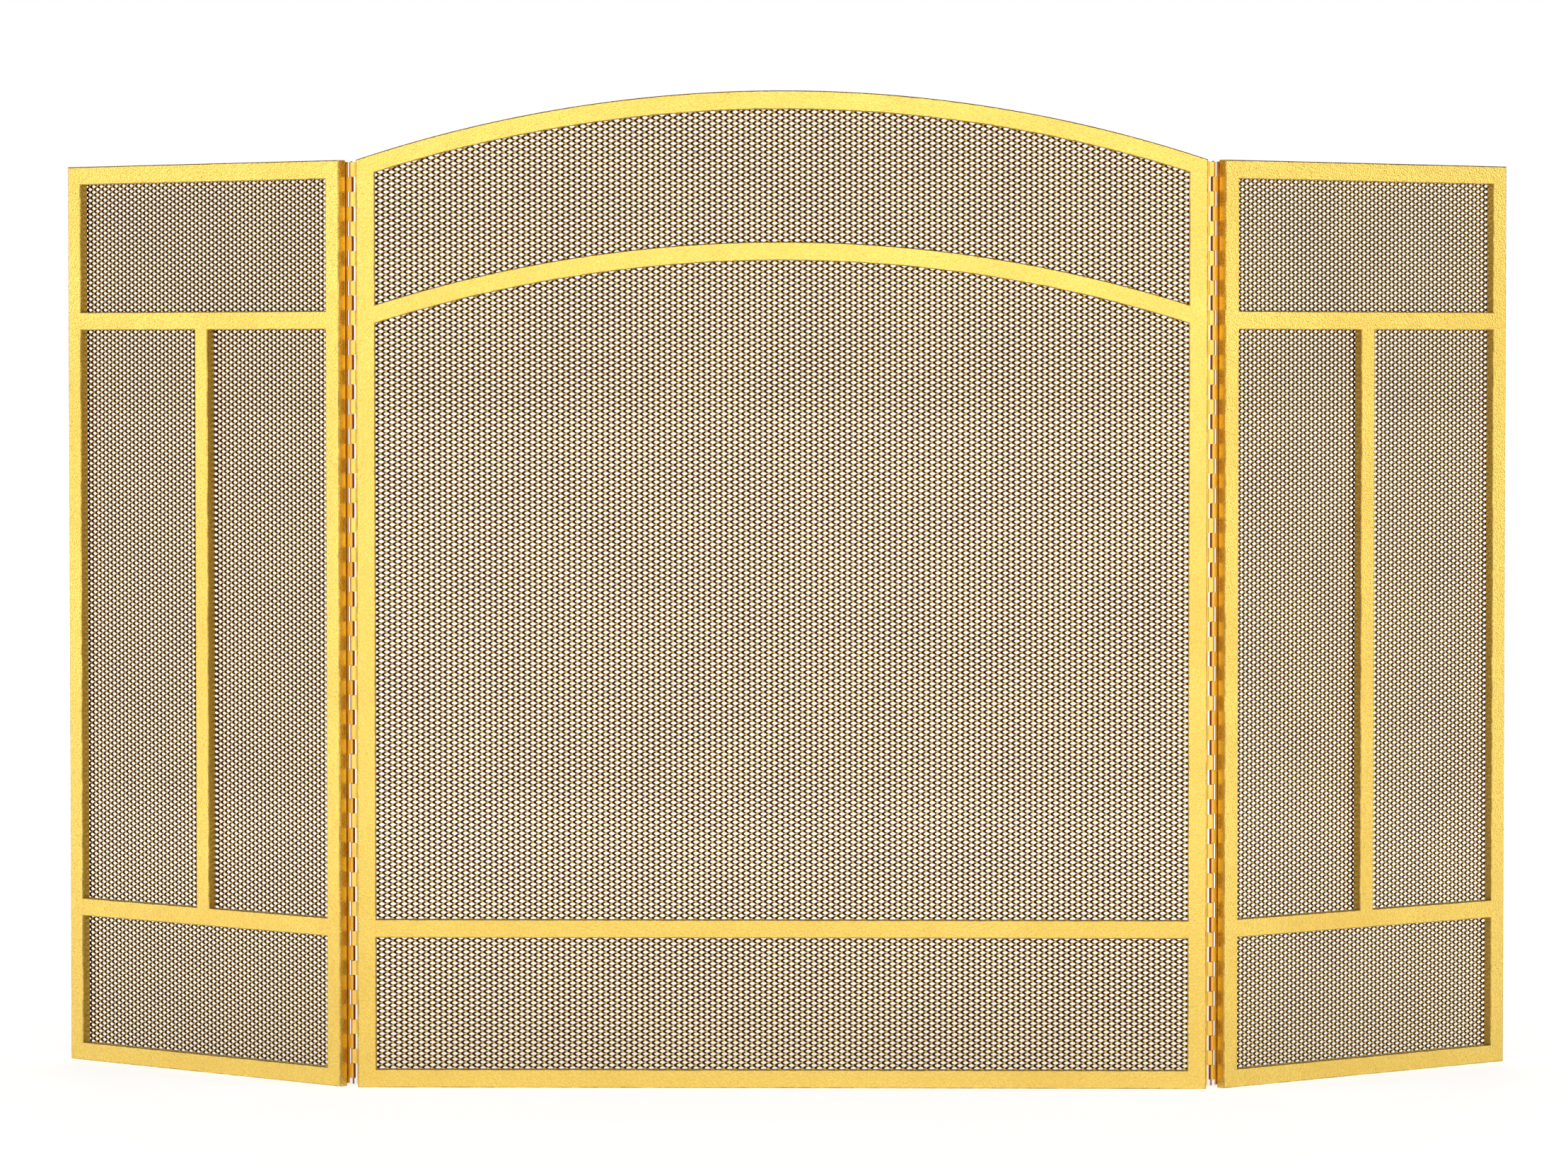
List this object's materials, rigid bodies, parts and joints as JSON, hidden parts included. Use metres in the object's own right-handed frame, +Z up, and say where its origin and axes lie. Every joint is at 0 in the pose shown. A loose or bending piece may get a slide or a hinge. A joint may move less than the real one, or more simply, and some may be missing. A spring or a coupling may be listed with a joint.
{
  "type": "folding fireplace screen",
  "caption": "Folding fireplace screen: arched centre panel and straight wings on continuous hinges, expanded-metal mesh in a gold frame.",
  "frame": {"origin": "on the floor under the middle of the centre panel's bottom rail, half way through its depth", "axes": "+X along the centre panel towards its right side seen from the front, +Y towards the back, +Z up"},
  "size_m": [1.2786, 0.2305, 0.855],
  "materials": {
    "frame": "polished gold-tone plating on steel tube, with a fine orange-peel grain",
    "mesh": "gold-tone plating on expanded steel, darker in the cut edges",
    "hinge": "gold-tone plating, semi-gloss",
    "pin": "plain steel wire"
  },
  "bodies": {
    "centre_panel": {"centre_left_stile": "frame", "centre_right_stile": "frame", "centre_bottom_rail": "frame", "centre_lower_rail": "frame", "centre_band_arch": "frame", "centre_arch_rail": "frame", "centre_mesh": "mesh", "left_hinge_centre_leaf": "hinge", "left_hinge_pin": "pin", "right_hinge_centre_leaf": "hinge", "right_hinge_pin": "pin"},
    "left_wing": {"left_wing_hinge_stile": "frame", "left_wing_outer_stile": "frame", "left_wing_bottom_rail": "frame", "left_wing_lower_rail": "frame", "left_wing_upper_rail": "frame", "left_wing_top_rail": "frame", "left_wing_middle_bar": "frame", "left_wing_mesh": "mesh", "left_hinge_wing_leaf": "hinge"},
    "right_wing": {"right_wing_hinge_stile": "frame", "right_wing_outer_stile": "frame", "right_wing_bottom_rail": "frame", "right_wing_lower_rail": "frame", "right_wing_upper_rail": "frame", "right_wing_top_rail": "frame", "right_wing_middle_bar": "frame", "right_wing_mesh": "mesh", "right_hinge_wing_leaf": "hinge"}
  },
  "joints": [
    {"name": "left_wing_fold", "type": "hinge", "parent": "centre_panel", "child": "left_wing", "pos_m": [-0.3687, 0.0068, 0], "axis": [0, 0, -1], "range_deg": [-80, 140]},
    {"name": "right_wing_fold", "type": "hinge", "parent": "centre_panel", "child": "right_wing", "pos_m": [0.3687, 0.0068, 0], "axis": [0, 0, 1], "range_deg": [-80, 140]}
  ]
}
